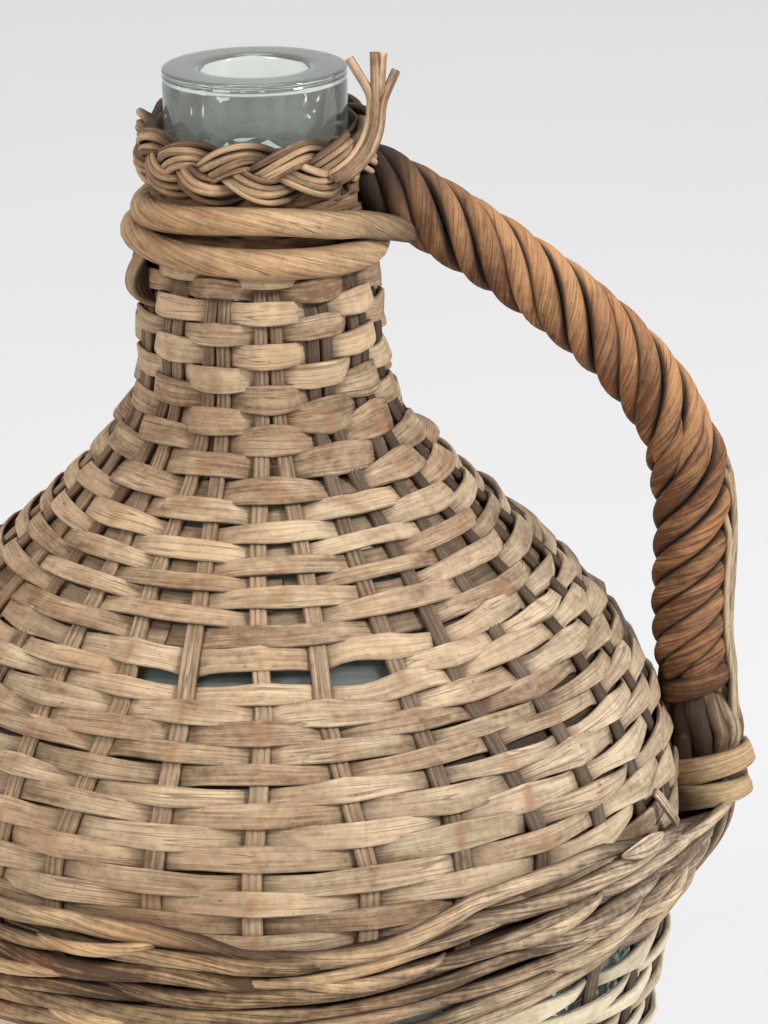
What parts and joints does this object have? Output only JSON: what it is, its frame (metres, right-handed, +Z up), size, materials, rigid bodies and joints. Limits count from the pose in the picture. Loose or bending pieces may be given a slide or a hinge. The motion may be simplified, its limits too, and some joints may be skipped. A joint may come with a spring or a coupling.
{
  "type": "wicker demijohn",
  "caption": "Tall glass demijohn with an open straight neck, clad in a woven wicker basket with a thick rod waist, a plaited neck collar and a roped side handle.",
  "frame": {"origin": "middle of the base's flat underside, on the bottle's axis, on the floor", "axes": "+Z up along the bottle's axis to the mouth, +X towards the handle, +Y to the back with the handle on the right"},
  "size_m": [0.2652, 0.247, 0.3778],
  "materials": {
    "bottle_glass": "clear pale aqua-green glass, smooth, with a rounded thick lip",
    "weave_cane": "weathered split willow, tan to grey-brown, matt",
    "stake_cane": "weathered split willow stakes, darker, ribbed along their length",
    "waist_rod_wood": "whole willow rods, grey to orange-brown, matt",
    "binding_rod": "peeled thick willow rod, honey brown, satin",
    "plait_cane": "thin willow rods plaited in pairs, tan, matt",
    "handle_wood": "twisted willow rods, red-brown with tan edges, worn satin",
    "tie_cane": "split willow, pale tan, matt"
  },
  "bodies": {
    "root": {"glass_bottle": "bottle_glass", "base_mat": "weave_cane", "foot_border": "waist_rod_wood", "stake_01": "stake_cane", "stake_02": "stake_cane", "stake_03": "stake_cane", "stake_04": "stake_cane", "stake_05": "stake_cane", "stake_06": "stake_cane", "stake_07": "stake_cane", "stake_08": "stake_cane", "stake_09": "stake_cane", "stake_10": "stake_cane", "stake_11": "stake_cane", "stake_12": "stake_cane", "stake_13": "stake_cane", "stake_14": "stake_cane", "stake_15": "stake_cane", "stake_16": "stake_cane", "stake_17": "stake_cane", "stake_18": "stake_cane", "stake_19": "stake_cane", "stake_20": "stake_cane", "stake_21": "stake_cane", "stake_22": "stake_cane", "stake_23": "stake_cane", "stake_24": "stake_cane", "stake_25": "stake_cane", "stake_26": "stake_cane", "stake_27": "stake_cane", "stake_28": "stake_cane", "lower_weave": "weave_cane", "waist_rod_1": "waist_rod_wood", "waist_rod_2": "waist_rod_wood", "waist_rod_3": "waist_rod_wood", "waist_rod_4": "waist_rod_wood", "waist_rod_5": "waist_rod_wood", "waist_rod_6": "waist_rod_wood", "shoulder_weave": "weave_cane", "neck_binding": "binding_rod", "neck_plait": "plait_cane", "plait_tail": "plait_cane", "handle_bow": "handle_wood", "upper_strand_1": "handle_wood", "upper_strand_2": "handle_wood", "upper_strand_3": "handle_wood", "upper_strand_4": "handle_wood", "upper_strand_5": "handle_wood", "upper_strand_6": "handle_wood", "lower_strand_1": "handle_wood", "lower_strand_2": "handle_wood", "lower_strand_3": "handle_wood", "lower_strand_4": "handle_wood", "lower_strand_5": "handle_wood", "lower_strand_6": "handle_wood", "handle_tie": "tie_cane"}
  },
  "joints": []
}
